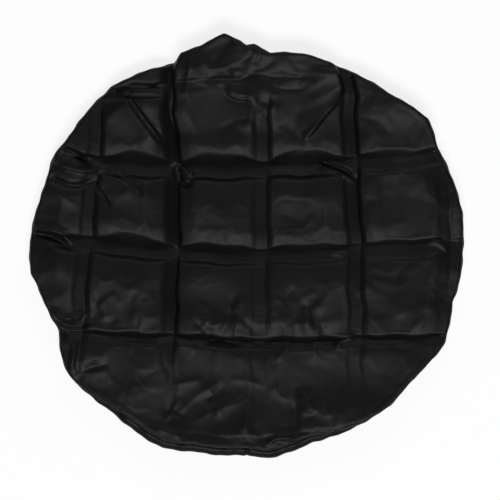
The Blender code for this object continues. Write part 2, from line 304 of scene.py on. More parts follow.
class FaceSettings(bpy.types.PropertyGroup):
    """Sizes of the round face and its folds."""

    mean_radius: FloatProperty(
        name="Mean radius", description="Mean radius of the outline as the cover lies", default=0.355,
        unit="LENGTH",
    )
    thickness: FloatProperty(
        name="Cloth", description="Thickness of the coated cloth", default=0.0009, unit="LENGTH"
    )
    spacing: FloatProperty(
        name="Mesh spacing", description="Distance between the cloth's mesh points", default=0.0050,
        unit="LENGTH",
    )
    crown: FloatProperty(
        name="Crown", description="Height of a pillow over the folds beside it", default=0.018,
        unit="LENGTH",
    )
    fold_level: FloatProperty(
        name="Fold level", description="Height of the folds over the floor", default=0.019, unit="LENGTH"
    )
    edge_fall: FloatProperty(
        name="Edge fall", description="Width over which the pillows flatten near the edge", default=0.060,
        unit="LENGTH",
    )
    edge_roll: FloatProperty(
        name="Edge roll", description="Width of the last turn down to the sewn edge", default=0.0038,
        unit="LENGTH",
    )
    flap_lift: FloatProperty(
        name="Flap lift", description="How far the flap at the top stands up", default=0.007, unit="LENGTH"
    )
    dish: FloatProperty(
        name="Dish", description="How far the middle sags below the face over the band", default=0.009,
        unit="LENGTH",
    )
    flap_foot: FloatProperty(
        name="Flap foot", description="How far the flap's foot lies below the pillows", default=0.0025,
        unit="LENGTH",
    )
    cut_diameter: FloatProperty(
        name="Cut diameter", description="Diameter of the face as it was cut", default=0.772, unit="LENGTH"
    )
    spare_cloth: FloatProperty(
        name="Spare cloth", description="Share by which the cloth is longer than the space it lies in",
        default=0.014,
    )
    bending: FloatProperty(name="Bending", description="Bending stiffness of the cloth", default=1.5)
    puff: FloatProperty(name="Puff", description="Lift of the cloth between the folds", default=0.6)
    settle_frames: IntProperty(name="Settling", description="Steps for which the cloth settles", default=24)
    settle_limit: FloatProperty(
        name="Settling limit", description="How far a point of the cloth may settle", default=0.016,
        unit="LENGTH",
    )
    settle_share: FloatProperty(
        name="Settling share", description="Share of the settling that is kept", subtype="FACTOR",
        default=0.42, min=0, max=1,
    )
    colour: FloatVectorProperty(
        name="Cloth colour", description="Colour of the coated cloth", subtype="COLOR", size=3,
        default=(0.0034, 0.0034, 0.0036), min=0, max=1,
    )
    roughness: FloatProperty(
        name="Cloth roughness", description="Roughness of the coating", subtype="FACTOR",
        default=0.49, min=0, max=1,
    )


class BandSettings(bpy.types.PropertyGroup):
    """Sizes of the band, its gathers and its hem."""

    seam_inset: FloatProperty(
        name="Seam inset", description="How far the seam lies inside the outline", default=0.0015,
        unit="LENGTH",
    )
    bottom_inset: FloatProperty(
        name="Bottom inset", description="The same at the bottom edge, where the band shows", default=0.014,
        unit="LENGTH",
    )
    gathers: IntProperty(name="Gathers", description="Gathers round the mouth", default=84)
    gather_height: FloatProperty(
        name="Gather height", description="Height of a gather beside the hem", default=0.008, unit="LENGTH"
    )
    cut_width: FloatProperty(
        name="Cut width", description="Width of the band as it was cut", default=0.165, unit="LENGTH"
    )


class TrimSettings(bpy.types.PropertyGroup):
    """Sizes of the tapes, the elastic and the stitches."""

    tape: FloatProperty(name="Tape", description="Thickness of the tapes", default=0.0006, unit="LENGTH")
    binding_leg: FloatProperty(
        name="Binding leg", description="Height of the seam's folded tape", default=0.005, unit="LENGTH"
    )
    hem_width: FloatProperty(
        name="Hem width", description="Width of the hem's casing", default=0.0183, unit="LENGTH"
    )
    elastic: FloatProperty(
        name="Elastic", description="Thickness of the elastic", default=0.0012, unit="LENGTH"
    )
    elastic_width: FloatProperty(
        name="Elastic width", description="Width of the elastic", default=0.006, unit="LENGTH"
    )
    elastic_overlap: FloatProperty(
        name="Elastic overlap", description="Length over which the elastic's ends lie on each other",
        default=0.030, unit="LENGTH",
    )
    bartack_turns: IntProperty(
        name="Bar tack turns", description="Turns of the stitches over the overlap", default=5
    )
    thread: FloatProperty(
        name="Thread", description="Thickness of the sewing thread", default=0.0008, unit="LENGTH"
    )
    stitch_length: FloatProperty(
        name="Stitch", description="Length of a stitch", default=0.0034, unit="LENGTH"
    )
    stitch_gap: FloatProperty(
        name="Stitch gap", description="Gap between stitches", default=0.0008, unit="LENGTH"
    )


class StageSettings(bpy.types.PropertyGroup):
    """Camera and light."""

    lens: FloatProperty(name="Lens", description="Camera lens in millimetres", default=150.0)
    frame_width: FloatProperty(
        name="Frame width", description="Width of the picture at the cover", default=0.8353, unit="LENGTH"
    )
    key_power: FloatProperty(name="Key power", description="Power of the large soft lamp", default=275.0)
    fill_power: FloatProperty(
        name="Fill power", description="Power of the lamp behind the top edge", default=20.0
    )
    background: FloatVectorProperty(
        name="Background", description="Colour of the floor as the camera sees it", subtype="COLOR", size=3,
        default=(1.0, 1.0, 1.0), min=0, max=1,
    )


def smooth(low, high, value):
    """0 below low, 1 above high and an S curve between; high may be the smaller one."""
    share = np.clip((value - low) / (high - low), 0, 1)
    return share * share * (3 - 2 * share)


def outline_radius(degrees):
    """Distance from the pole to the outline at each angle."""
    turn = np.mod(degrees, 360)
    angles = np.array([a for a, _ in EDGE_CORNERS] + [EDGE_CORNERS[0][0] + 360], float)
    reach = np.array([v for _, v in EDGE_CORNERS] + [EDGE_CORNERS[0][1]], float) * MM
    at = np.clip(np.searchsorted(angles, turn, side="right") - 1, 0, len(angles) - 2)
    straight = (turn - angles[at]) / (angles[at + 1] - angles[at])
    share = (1 - CORNER_SOFTNESS) * straight + CORNER_SOFTNESS * smooth(0, 1, straight)
    return bpy.context.scene.cover_face.mean_radius + reach[at] + (reach[at + 1] - reach[at]) * share


def bottom_share(degrees):
    """1 along the bottom edge, where the band shows outside the seam, and 0 elsewhere."""
    away = np.abs(np.mod(degrees - BOTTOM_MIDDLE + 180, 360) - 180)
    return smooth(BOTTOM_END, BOTTOM_FULL, away)


def seam_radius(degrees):
    """Distance from the pole to the seam of face and band."""
    band = bpy.context.scene.cover_band
    share = bottom_share(degrees)
    inset = band.seam_inset + (band.bottom_inset - band.seam_inset) * share
    return outline_radius(degrees) - inset


def seam_height(degrees):
    """Height of the seam over the floor."""
    turn = np.radians(degrees)
    ripple = 0.0010 * np.sin(37 * turn + 0.6) + 0.0008 * np.sin(61 * turn + 2.1)
    return SEAM_HEIGHT + BOTTOM_RISE * bottom_share(degrees) + ripple


def ripples(x, y, seed, waves, size):
    """Soft random unevenness from a few plane waves, about -1 to 1; size is the mean wavelength."""
    pick = np.random.default_rng(seed)
    total = np.zeros_like(x)
    for _ in range(waves):
        turn = pick.uniform(0, 2 * math.pi)
        number = 2 * math.pi / (size * pick.uniform(0.7, 1.5))
        phase = pick.uniform(0, 2 * math.pi)
        total += np.sin(number * (x * math.cos(turn) + y * math.sin(turn)) + phase)
    return total / math.sqrt(waves)


def by_stretch(table, lines, along):
    """Value of each fold's row at a place along it, eased from one stretch to the next."""
    middle = (lines[:-1] + lines[1:]) / 2
    stops = np.concatenate([[lines[0] - FOLD_END * MM], middle, [lines[-1] + FOLD_END * MM]])
    return np.array([np.interp(along, stops, row) for row in table])


def along_line(at, stops, values):
    """Place of a line, given in millimetres at some stops, at the places asked for in metres."""
    return np.interp(at, np.array(stops) * MM, np.array(values) * MM)


def fold_middles(folds):
    """Where the folds of one direction cross the middle of the face."""
    return np.array([row[2] for row in folds]) * MM


def fold_lines(x, y):
    """Crease and strength of each fold beside the points: the folds up the face, then those across it."""
    up = np.array([along_line(y, FOLD_HEIGHTS, row) for row in UP_FOLDS])
    cross = np.array([along_line(x, FOLD_PLACES, row) for row in CROSS_FOLDS])
    up_strength = by_stretch(UP_STRENGTH, fold_middles(CROSS_FOLDS), y)
    cross_strength = by_stretch(CROSS_STRENGTH, fold_middles(UP_FOLDS), x)
    full, gone = MIDDLE_FOLD_FADE
    up_strength[MIDDLE_FOLD] *= smooth(gone * MM, full * MM, y)
    up += (UP_HALF + 1.4 * np.sin(y / 0.021 + 1) + 0.9 * np.sin(y / 0.0093)) * MM
    cross += (CROSS_HALF + 1.6 * np.sin(x / 0.024) + 1.0 * np.sin(x / 0.0101 + 2)) * MM
    return up, up_strength, cross, cross_strength


def across_fold(away, steep, floor, flank, tilt):
    """Height share beside a fold: a crease, a steep edge on its high side, a tilted floor and a flank."""
    edge = 1 - (1 - np.clip(away / steep, 0, 1)) ** 1.45
    swell = 1 - (1 - np.clip(away / (HIGH_SWELL * MM), 0, 1)) ** 2
    back = -away - floor
    rise = np.clip(-away / floor, 0, 1)
    step = 1 - (1 - np.clip(back / flank, 0, 1)) ** 1.6
    far_swell = 1 - (1 - np.clip(back / (LOW_SWELL * MM), 0, 1)) ** 2
    low_side = tilt * rise + (0.65 - tilt) * step + 0.35 * far_swell
    return np.where(away > 0, 0.62 * edge + 0.38 * swell, low_side)


def flap_share(x, y):
    """1 on the raised flap at the top and 0 beside it."""
    side = FLAP_SIDE * MM
    left = along_line(y, FLAP_HEIGHTS, FLAP_LEFT)
    right = along_line(y, FLAP_HEIGHTS, FLAP_RIGHT)
    foot, full = FLAP_START
    return smooth(-side, side, x - left) * smooth(-side, side, right - x) * smooth(foot * MM, full * MM, y)


def flap_lift(x, y):
    """How far the flap stands up: its foot a little lower than the pillows, then a slope to the edge."""
    face = bpy.context.scene.cover_face
    low, high = FLAP_SLOPE
    foot, full = FLAP_FOOT
    slope = (face.flap_lift + face.flap_foot) * np.clip((y - low * MM) / ((high - low) * MM), 0, 1)
    return flap_share(x, y) * (slope - face.flap_foot * smooth(foot * MM, full * MM, y))


def face_form(x, y):
    """Height of the face before its cloth is settled, at points given in metres."""
    face = bpy.context.scene.cover_face
    up, up_strength, cross, cross_strength = fold_lines(x, y)
    between = smooth(0, LENS_RUN * MM, np.min(np.abs(up - 0.5 * UP_HALF * MM - x), axis=0))
    lens = by_stretch(LENS_WIDTH, fold_middles(UP_FOLDS), x)
    share = np.ones_like(x)
    for line, strength, floor, flank in zip(up, up_strength, UP_FLOOR, UP_FLANK):
        steep = (STEEP_EDGE + SOFT_EDGE * np.clip(1 - strength, 0, 1)) * MM
        share *= 1 - strength * (1 - across_fold(x - line, steep, floor * MM, flank * MM, UP_TILT))
    for line, strength, width, floor in zip(cross, cross_strength, lens, CROSS_FLOOR):
        steep = (STEEP_EDGE + width * between) * MM
        share *= 1 - strength * (1 - across_fold(y - line, steep, floor * MM, CROSS_FLANK * MM, CROSS_TILT))
    uneven = UNEVEN_HEIGHT * MM * ripples(x, y, seed=5, waves=9, size=UNEVEN_LENGTH * MM)
    dish = face.dish * (np.minimum(np.hypot(x, y) / (DISH_RADIUS * MM), 1.05) ** 2 - 0.5)
    return face.fold_level + face.crown * share + uneven + flap_lift(x, y) + dish


def inside_edge(x, y):
    """Distance from each point to the seam along its ray, and the ray's angle in degrees."""
    dx, dy = x - POLE.x, y - POLE.y
    degrees = np.degrees(np.arctan2(dy, dx))
    return seam_radius(degrees) - np.hypot(dx, dy), degrees


def face_height(x, y):
    """Height of the face with its drop to the sewn edge."""
    face = bpy.context.scene.cover_face
    inside, degrees = inside_edge(x, y)
    low = seam_height(degrees)
    near = low + RIM_RISE
    fall = face.edge_fall * (1 - 0.8 * flap_share(x, y))
    base = np.interp(np.mod(degrees, 360), *np.array(EDGE_LEVEL).T)
    level = near + (face_form(x, y) - near) * (base + (1 - base) * smooth(0, 1, inside / fall))
    rounded = np.sqrt(1 - (1 - np.clip(inside / face.edge_roll, 0, 1)) ** 2)
    return low + (level - low) * rounded


def ring_points(degrees, radius, height):
    """Points about the pole."""
    turn = np.radians(degrees)
    height = np.broadcast_to(height, turn.shape)
    return np.stack([POLE.x + radius * np.cos(turn), POLE.y + radius * np.sin(turn), height], axis=-1)


def new_object(name, data):
    """A new object in the scene."""
    made = bpy.data.objects.new(name, data)
    bpy.context.scene.collection.objects.link(made)
    return made


def mesh_object(name, points, faces):
    """A smooth mesh object from points and faces."""
    mesh = bpy.data.meshes.new(name)
    mesh.from_pydata([tuple(p) for p in points], [], faces)
    mesh.update()
    mesh.shade_smooth()
    return new_object(name, mesh)


def grid_faces(rows, columns, closed_rows, closed_columns=False):
    """Faces of a grid of points counted row by row."""
    faces = []
    for r in range(rows if closed_rows else rows - 1):
        for c in range(columns if closed_columns else columns - 1):
            a = r * columns + c
            b = r * columns + (c + 1) % columns
            d = ((r + 1) % rows) * columns + c
            e = ((r + 1) % rows) * columns + (c + 1) % columns
            faces.append((a, b, e, d))
    return faces


def grid_object(name, grid, closed):
    """A mesh through rows of points, the last row joined to the first if the grid is closed."""
    rows, columns = grid.shape[:2]
    return mesh_object(name, grid.reshape(-1, 3), grid_faces(rows, columns, closed))


def turned_points(degrees, section):
    """The points of a section, given as radius and height, at each angle about the pole."""
    return np.stack([ring_points(degrees, radius, height) for radius, height in section], axis=1)


def thicken(piece, thickness, offset):
    """Gives a sheet its thickness as real geometry."""
    solidify = piece.modifiers.new("Cloth thickness", "SOLIDIFY")
    solidify.thickness = thickness
    solidify.offset = offset
    solidify.use_even_offset = False


def dress(piece, finish, *nodes):
    """Puts a finish on a piece and seats it in the frame in place of its nodes."""
    piece.data.materials.append(finish_named(finish))
    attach(piece, BODY)
    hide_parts(*nodes)


def link(tree, source, output, target, socket):
    """Joins an output of one node to an input of another."""
    tree.links.new(source.outputs[output], target.inputs[socket])


def add_node(tree, kind, **values):
    """A new node with the values of its inputs, whose names have _ for a space."""
    node = tree.nodes.new(kind)
    for name, value in values.items():
        node.inputs[name.replace("_", " ")].default_value = value
    return node


def math_node(tree, operation, *sources):
    """A node that works out one number from the given outputs."""
    node = tree.nodes.new("ShaderNodeMath")
    node.operation = operation
    for i, source in enumerate(sources):
        tree.links.new(source, node.inputs[i])
    return node


def new_material(name):
    """A node material with its shader."""
    made = bpy.data.materials.new(name)
    made.use_nodes = True
    return made, made.node_tree, made.node_tree.nodes["Principled BSDF"]


def mottled_colour(tree, shader, where, blotches, colour, shades, stops):
    """Blotches of a darker and a lighter shade of the colour."""
    tint = tree.nodes.new("ShaderNodeValToRGB")
    for element, shade, stop in zip(tint.color_ramp.elements, shades, stops):
        element.position = stop
        element.color = (*(c * shade for c in colour), 1)
    link(tree, where, "Object", blotches, "Vector")
    link(tree, blotches, "Fac", tint, "Fac")
    link(tree, tint, "Color", shader, "Base Color")


def woven_relief(tree, shader, where, thread_pitch, strength, depth):
    """The relief of a plain weave: two crossed sets of threads."""
    waves = []
    for axis in ("X", "Y"):
        wave = add_node(tree, "ShaderNodeTexWave", Scale=0.314 / thread_pitch, Distortion=0.6, Detail=1.0)
        wave.wave_type = "BANDS"
        wave.bands_direction = axis
        link(tree, where, "Object", wave, "Vector")
        waves.append(wave.outputs["Fac"])
    bump = add_node(tree, "ShaderNodeBump", Strength=strength, Distance=depth)
    link(tree, math_node(tree, "ADD", *waves), "Value", bump, "Height")
    link(tree, bump, "Normal", shader, "Normal")


def coated_cloth():
    """Black coated cloth: soft sheen, fine weave and slight unevenness of the coating."""
    face = bpy.context.scene.cover_face
    made, tree, shader = new_material("black_coated_cloth")
    where = tree.nodes.new("ShaderNodeTexCoord")
    blotches = add_node(tree, "ShaderNodeTexNoise", Scale=14, Detail=5)
    mottled_colour(tree, shader, where, blotches, face.colour, shades=(0.82, 1.2), stops=(0.3, 0.7))
    rough = add_node(
        tree, "ShaderNodeMapRange", To_Min=face.roughness - 0.05, To_Max=face.roughness + 0.06
    )
    link(tree, blotches, "Fac", rough, "Value")
    link(tree, rough, "Result", shader, "Roughness")
    woven_relief(tree, shader, where, thread_pitch=0.0006, strength=0.12, depth=0.00005)
    shader.inputs["Specular IOR Level"].default_value = 0.14
    return made


def ribbed_finish(name, colour, roughness, pitch, depth):
    """Woven tape, braid or spun thread: fine ribs over a dark colour."""
    made, tree, shader = new_material("black_" + name)
    where = tree.nodes.new("ShaderNodeTexCoord")
    blotches = add_node(tree, "ShaderNodeTexNoise", Scale=220, Detail=3)
    mottled_colour(tree, shader, where, blotches, colour, shades=(0.7, 1.3), stops=(0, 1))
    shader.inputs["Roughness"].default_value = roughness
    woven_relief(tree, shader, where, thread_pitch=pitch, strength=0.5, depth=depth)
    return made


def finish_named(name):
    """The finish of that name, made on first use."""
    made = bpy.data.materials.get("black_" + name)
    if made:
        return made
    if name == "coated_cloth":
        return coated_cloth()
    return ribbed_finish(name, *RIBBED_FINISHES[name])


def face_mesh_points(spacing):
    """Flat points of the face, how many lie on its edge, and the chains of points along its folds.

    Two rings follow the seam, inside them lies an even triangular net, moved onto the creases beside it.
    """
    count = int(2 * math.pi * bpy.context.scene.cover_face.mean_radius / spacing)
    angles = np.arange(count) * 360 / count
    rings = [ring_points(angles, seam_radius(angles) - inset, 0)[:, :2] for inset in (0, 0.6 * spacing)]
    reach = 0.40
    row_gap = spacing * math.sqrt(3) / 2
    rows = int(reach / row_gap)
    net = []
    for r in range(-rows, rows + 1):
        shift = spacing / 2 if r % 2 else 0
        x = np.arange(-reach + shift, reach, spacing)
        net.append(np.stack([x, np.full_like(x, r * row_gap)], axis=1))
    net = np.concatenate(net)
    inside, _ = inside_edge(net[:, 0], net[:, 1])
    net = net[inside > 1.25 * spacing]
    first = 2 * count
    chains = []
    up, up_strength, cross, cross_strength = fold_lines(net[:, 0], net[:, 1])
    directions = ((up, up_strength, 0, spacing), (cross, cross_strength, 1, row_gap))
    for lines, strengths, axis, near in directions:
        for line, strength in zip(lines, strengths):
            hit = np.flatnonzero((np.abs(line - net[:, axis]) < 0.49 * near) & (strength > SHARP_FOLD))
            net[hit, axis] = line[hit]
            chains.append(first + hit[np.argsort(net[hit, 1 - axis])])
    return np.concatenate([*rings, net]), count, chains


def make_face():
    """The face's cloth as one sheet, and which of its points lie on a fold."""
    face = bpy.context.scene.cover_face
    flat, count, chains = face_mesh_points(face.spacing)
    edges = [(i, (i + 1) % count) for i in range(count)]
    for chain in chains:
        for a, b in zip(chain, chain[1:]):
            if np.linalg.norm(flat[a] - flat[b]) < 3 * face.spacing:
                edges.append((int(a), int(b)))
    only_inside = 1
    made = delaunay_2d_cdt([Vector(p) for p in flat], edges, [], only_inside, 1e-7)
    x, y = np.array(made[0]).T
    folded = {int(i) for chain in chains for i in chain}
    on_fold = np.array([float(not sources or any(i in folded for i in sources)) for sources in made[3]])
    points = np.stack([x, y, face_height(x, y)], axis=1)
    return mesh_object("face_panel", points, made[2]), on_fold


def held_share(x, y):
    """How firmly the folds and the sewn edge hold the cloth at each point, 0 to 1."""
    face = bpy.context.scene.cover_face
    inside, _ = inside_edge(x, y)
    share = (face_form(x, y) - face.fold_level) / face.crown
    at_fold = smooth(0.90, 0.62, share)
    at_edge = smooth(0.016, 0.006, inside)
    return np.maximum(at_fold, at_edge)


def settle_cloth(piece):
    """Lets the cloth's spare length buckle between its folds; the share of each move that is kept."""
    face = bpy.context.scene.cover_face
    scene = bpy.context.scene
    start = np.array([v.co for v in piece.data.vertices])
    held = held_share(start[:, 0], start[:, 1])
    group = piece.vertex_groups.new(name="held")
    for i, weight in enumerate(held):
        group.add([i], float(0.004 + 0.996 * weight), "REPLACE")
    modifier = piece.modifiers.new("Cloth", "CLOTH")
    cloth = modifier.settings
    cloth.quality = 5
    cloth.mass = 0.05
    cloth.tension_stiffness = 25
    cloth.compression_stiffness = 25
    cloth.shear_stiffness = 12
    cloth.bending_stiffness = face.bending
    cloth.air_damping = 2
    cloth.vertex_group_mass = "held"
    cloth.pin_stiffness = 1
    cloth.shrink_min = -face.spare_cloth
    cloth.shrink_max = -face.spare_cloth
    cloth.use_pressure = True
    cloth.uniform_pressure_force = face.puff
    cloth.effector_weights.gravity = 0.25
    modifier.collision_settings.use_collision = False
    for number in range(1, face.settle_frames + 1):
        scene.frame_set(number)
    settled = piece.evaluated_get(bpy.context.evaluated_depsgraph_get())
    end = np.array([v.co for v in settled.data.vertices])
    piece.modifiers.remove(modifier)
    piece.vertex_groups.clear()
    scene.frame_set(1)
    move = end - start
    length = np.linalg.norm(move, axis=1, keepdims=True)
    return face.settle_share * move * np.minimum(1, face.settle_limit / np.maximum(length, 1e-9))


def refine(piece, moves, on_fold):
    """Splits each triangle in four, follows the form more closely and adds how the cloth settled."""
    bm = bmesh.new()
    bm.from_mesh(piece.data)
    settled = bm.verts.layers.float_vector.new("settled")
    crease = bm.verts.layers.float.new("crease")
    for vert, move, fold in zip(bm.verts, moves, on_fold):
        vert[settled] = move
        vert[crease] = fold
    bmesh.ops.subdivide_edges(bm, edges=bm.edges, cuts=1, use_grid_fill=True)
    bm.verts.index_update()
    places = np.array([v.co for v in bm.verts])
    moves = np.array([v[settled] for v in bm.verts])
    pairs = np.array([[v.index for v in e.verts] for e in bm.edges])
    for edge in bm.edges:
        edge.smooth = min(v[crease] for v in edge.verts) < 0.99
    bm.verts.layers.float_vector.remove(settled)
    bm.verts.layers.float.remove(bm.verts.layers.float["crease"])
    bm.to_mesh(piece.data)
    bm.free()
    moves = relax(moves, pairs, 2)
    places[:, 2] = face_height(places[:, 0], places[:, 1])
    piece.data.vertices.foreach_set("co", (places + moves).ravel())
    piece.data.update()


def relax(values, pairs, rounds):
    """Evens out values over a mesh by taking each point halfway to the mean of its neighbours."""
    count = np.bincount(pairs.ravel(), minlength=len(values))[:, None]
    for _ in range(rounds):
        total = np.zeros_like(values)
        np.add.at(total, pairs[:, 0], values[pairs[:, 1]])
        np.add.at(total, pairs[:, 1], values[pairs[:, 0]])
        values = (values + total / count) / 2
    return values


def rounded_line(points, steps):
    """A smooth curve through the points of a line, as many steps for each stretch."""
    points = np.array(points, float)
    ends = np.vstack([2 * points[0] - points[1], points, 2 * points[-1] - points[-2]])
    share = np.linspace(0, 1, steps, endpoint=False)[:, None]
    parts = []
    for a, b, c, d in zip(ends, ends[1:], ends[2:], ends[3:]):
        slope = (c - a) / 2, (d - b) / 2
        parts.append(
            (2 * share**3 - 3 * share**2 + 1) * b
            + (share**3 - 2 * share**2 + share) * slope[0]
            + (3 * share**2 - 2 * share**3) * c
            + (share**3 - share**2) * slope[1]
        )
    return np.vstack([*parts, points[-1:]])


def beside_line(places, line):
    """Distance of each place from a line, positive on its left, the share along it and its direction."""
    steps = np.diff(line, axis=0)
    lengths = np.linalg.norm(steps, axis=1)
    run = np.concatenate([[0], np.cumsum(lengths)])
    best = np.full(len(places), np.inf)
    side = np.zeros(len(places))
    along = np.zeros(len(places))
    heading = np.zeros((len(places), 2))
    for a, step, length, start in zip(line, steps, lengths, run):
        rel = places - a
        share = np.clip(rel @ step / length**2, 0, 1)
        gap = np.linalg.norm(rel - share[:, None] * step, axis=1)
        near = gap < best
        cross = step[0] * rel[:, 1] - step[1] * rel[:, 0]
        best[near] = gap[near]
        side[near] = np.where(cross[near] >= 0, gap[near], -gap[near])
        along[near] = (start + share[near] * length) / run[-1]
        heading[near] = step / length
    return side, along, heading


def add_crease(points, line, rise, left, right, lean):
    """Raises or sinks the cloth along a line; lean tips a crest over its steeper side."""
    line = rounded_line(np.array(line) * MM, 6)
    reach = 2.6 * max(left, right) * MM
    low, high = line.min(axis=0) - reach, line.max(axis=0) + reach
    near = np.all((points[:, :2] > low) & (points[:, :2] < high), axis=1)
    side, along, heading = beside_line(points[near, :2], line)
    width = np.where(side > 0, left, right) * MM
    taper = smooth(0, 0.3, along) * smooth(1, 0.7, along)
    share = np.exp(-((np.abs(side) / width) ** 1.35)) * taper
    move = np.zeros((near.sum(), 3))
    move[:, 2] = 1.3 * rise * MM * share
    toward = 1 if left < right else -1
    tip = lean * MM * toward * np.exp(-((side / (8 * MM)) ** 2)) * taper
    move[:, 0] = -heading[:, 1] * tip
    move[:, 1] = heading[:, 0] * tip
    points[near] += move


def add_crumples(points):
    """Small creases with sharp crests in the places where the cloth is crumpled."""
    pick = np.random.default_rng(11)
    for x, y, half_x, half_y, count, height, direction in CRUMPLES:
        for _ in range(count):
            middle = np.array([x + half_x * pick.uniform(-1, 1), y + half_y * pick.uniform(-1, 1)])
            turn = math.radians(direction + pick.normal(0, 32))
            half = pick.uniform(18, 42) * np.array([math.cos(turn), math.sin(turn)])
            bow = pick.uniform(-9, 9) * np.array([-math.sin(turn), math.cos(turn)])
            rise = 0.8 * height * pick.uniform(0.5, 1.2) * pick.choice([1, 1, -1])
            line = (middle - half, middle + bow, middle + half)
            add_crease(points, line, rise, pick.uniform(5, 15), pick.uniform(5, 15), 0)


def edge_puckers(x, y):
    """How far each point moves out or in where the seam puckers the cloth beside it."""
    inside, degrees = inside_edge(x, y)
    turn = np.radians(degrees)
    wave = np.sin(67 * turn + 2.5 * np.sin(9 * turn)) + 0.7 * np.sin(113 * turn + 2 * np.sin(5 * turn) + 1)
    patch = 0.55 + 0.45 * np.sin(4 * turn + 1.3 * np.sin(3 * turn))
    reach = smooth(0, 0.004, inside) * smooth(0.030, 0.008, inside)
    out = 0.0006 * wave * patch * reach
    return np.stack([out * np.cos(turn), out * np.sin(turn)], axis=1)


def press_creases(piece):
    """Presses the single creases and crumples into the settled cloth."""
    points = np.array([v.co for v in piece.data.vertices])
    inside, _ = inside_edge(points[:, 0], points[:, 1])
    keep = smooth(0.001, 0.014, inside)[:, None]
    before = points.copy()
    for crease in CREASES:
        add_crease(points, *crease)
    add_crumples(points)
    points = before + (points - before) * keep
    points[:, 2] = np.maximum(points[:, 2], LOWEST_FOLD * MM)
    points[:, :2] += edge_puckers(before[:, 0], before[:, 1])
    piece.data.vertices.foreach_set("co", points.ravel())
    piece.data.update()


class COVER_OT_face(bpy.types.Operator):
    """Make the round face with its packing folds"""

    bl_idname = "cover.face"
    bl_label = "Face Panel"

    def execute(self, context):
        face = context.scene.cover_face
        piece, on_fold = make_face()
        moves = np.zeros((len(on_fold), 3))
        moves = settle_cloth(piece)
        refine(piece, moves, on_fold)
        press_creases(piece)
        thicken(piece, face.thickness, -1)
        dress(piece, "coated_cloth", "front_panel")
        return {"FINISHED"}


def band_section(degrees, inset):
    """Rows of points from the seam round the roll and under the cover to the hem."""
    band = bpy.context.scene.cover_band
    seam = seam_radius(degrees)
    high = seam_height(degrees)
    turn = np.radians(degrees)
    wave = 0.5 + 0.5 * np.sin(band.gathers * turn + 1.6 * np.sin(7 * turn) + 0.9 * np.sin(13 * turn + 1))
    from_lap = np.abs(np.mod(degrees, 180) - LAPS["top"])
    wave = wave * smooth(LAP_FLAT, LAP_GATHERED, from_lap)
    crease = 0.0006 * np.sin(46 * turn + 2 * np.sin(5 * turn)) + 0.0004 * np.sin(83 * turn + 0.7)
    out = np.maximum(outline_radius(degrees) - seam, NARROWEST_ROLL) - inset
    rows = [(seam, high - inset)]
    for bend in np.linspace(0, math.pi, 9)[1:]:
        height = high / 2 + (high / 2 - inset) * math.cos(bend)
        rows.append((seam + (out + crease) * math.sin(bend), height))
    run = seam - LIP - HEM_RADIUS
    for share in np.linspace(0, 1, 19):
        lift = band.gather_height * wave * smooth(0.15, 0.75, share) * smooth(1.04, 0.9, share)
        rows.append((seam - LIP - run * share, HEM_CLEAR * smooth(0.9, 1, share) + lift + inset))
    rows.append((HEM_RADIUS - HEM_REACH, HEM_CLEAR + inset))
    return turned_points(degrees, rows)


def make_band_half(name, start):
    """Half of the band, its first end tucked under the other half."""
    angles = np.arange(start - LAP_LENGTH, start + 180.01, 0.5)
    under = LAP_DEPTH * smooth(start + 1.0, start + 0.2, angles)
    return grid_object(name, band_section(angles, under), False)


class COVER_OT_band(bpy.types.Operator):
    """Make the two halves of the band that turns under the cover"""

    bl_idname = "cover.band"
    bl_label = "Band"

    def execute(self, context):
        face = context.scene.cover_face
        for name, start in (("band_left", LAPS["top"]), ("band_right", LAPS["bottom"])):
            piece = make_band_half(name + "_cloth", start)
            thicken(piece, face.thickness, -1)
            dress(piece, "coated_cloth", name)
        return {"FINISHED"}


def ring_sheet(name, degrees, section, thickness):
    """A closed ring of tape with the given section, thickened to its inner side."""
    piece = grid_object(name, turned_points(degrees, section), True)
    thicken(piece, thickness, -1)
    return piece


def stitch_row(name, line, closed):
    """A row of single stitches along a line of points, each a short plump strand that dips at its ends."""
    trim = bpy.context.scene.cover_trim
    line = np.array(line, float)
    if closed:
        line = np.vstack([line, line[:1]])
    steps = np.linalg.norm(np.diff(line, axis=0), axis=1)
    run = np.concatenate([[0], np.cumsum(steps)])
    count = int(run[-1] / (trim.stitch_length + trim.stitch_gap))
    pitch = run[-1] / count
    sides = 6
    shares = np.array([0, 0.12, 0.5, 0.88, 1])
    plump = np.array([0.35, 0.85, 1, 0.85, 0.35]) * trim.thread / 2
    dip = np.array([0.5, 0.15, 0, 0.15, 0.5]) * trim.thread
    turns = np.arange(sides) * 2 * math.pi / sides
    points, faces = [], []
    for i in range(count):
        along = i * pitch + shares * trim.stitch_length
        spine = np.stack([np.interp(along, run, line[:, k]) for k in range(3)], axis=1)
        spine[:, 2] -= dip
        ahead = spine[-1] - spine[0]
        ahead /= np.linalg.norm(ahead)
        across = np.cross(ahead, (0, 0, 1))
        across /= max(np.linalg.norm(across), 1e-6)
        rise = np.cross(across, ahead)
        first = len(points)
        for centre, radius in zip(spine, plump):
            points += [centre + radius * (math.cos(t) * across + math.sin(t) * rise) for t in turns]
        faces += [tuple(first + c for c in face) for face in grid_faces(len(shares), sides, False, True)]
        faces.append(tuple(first + c for c in range(sides)))
        last = first + (len(shares) - 1) * sides
        faces.append(tuple(last + sides - 1 - c for c in range(sides)))
    return mesh_object(name, points, faces)


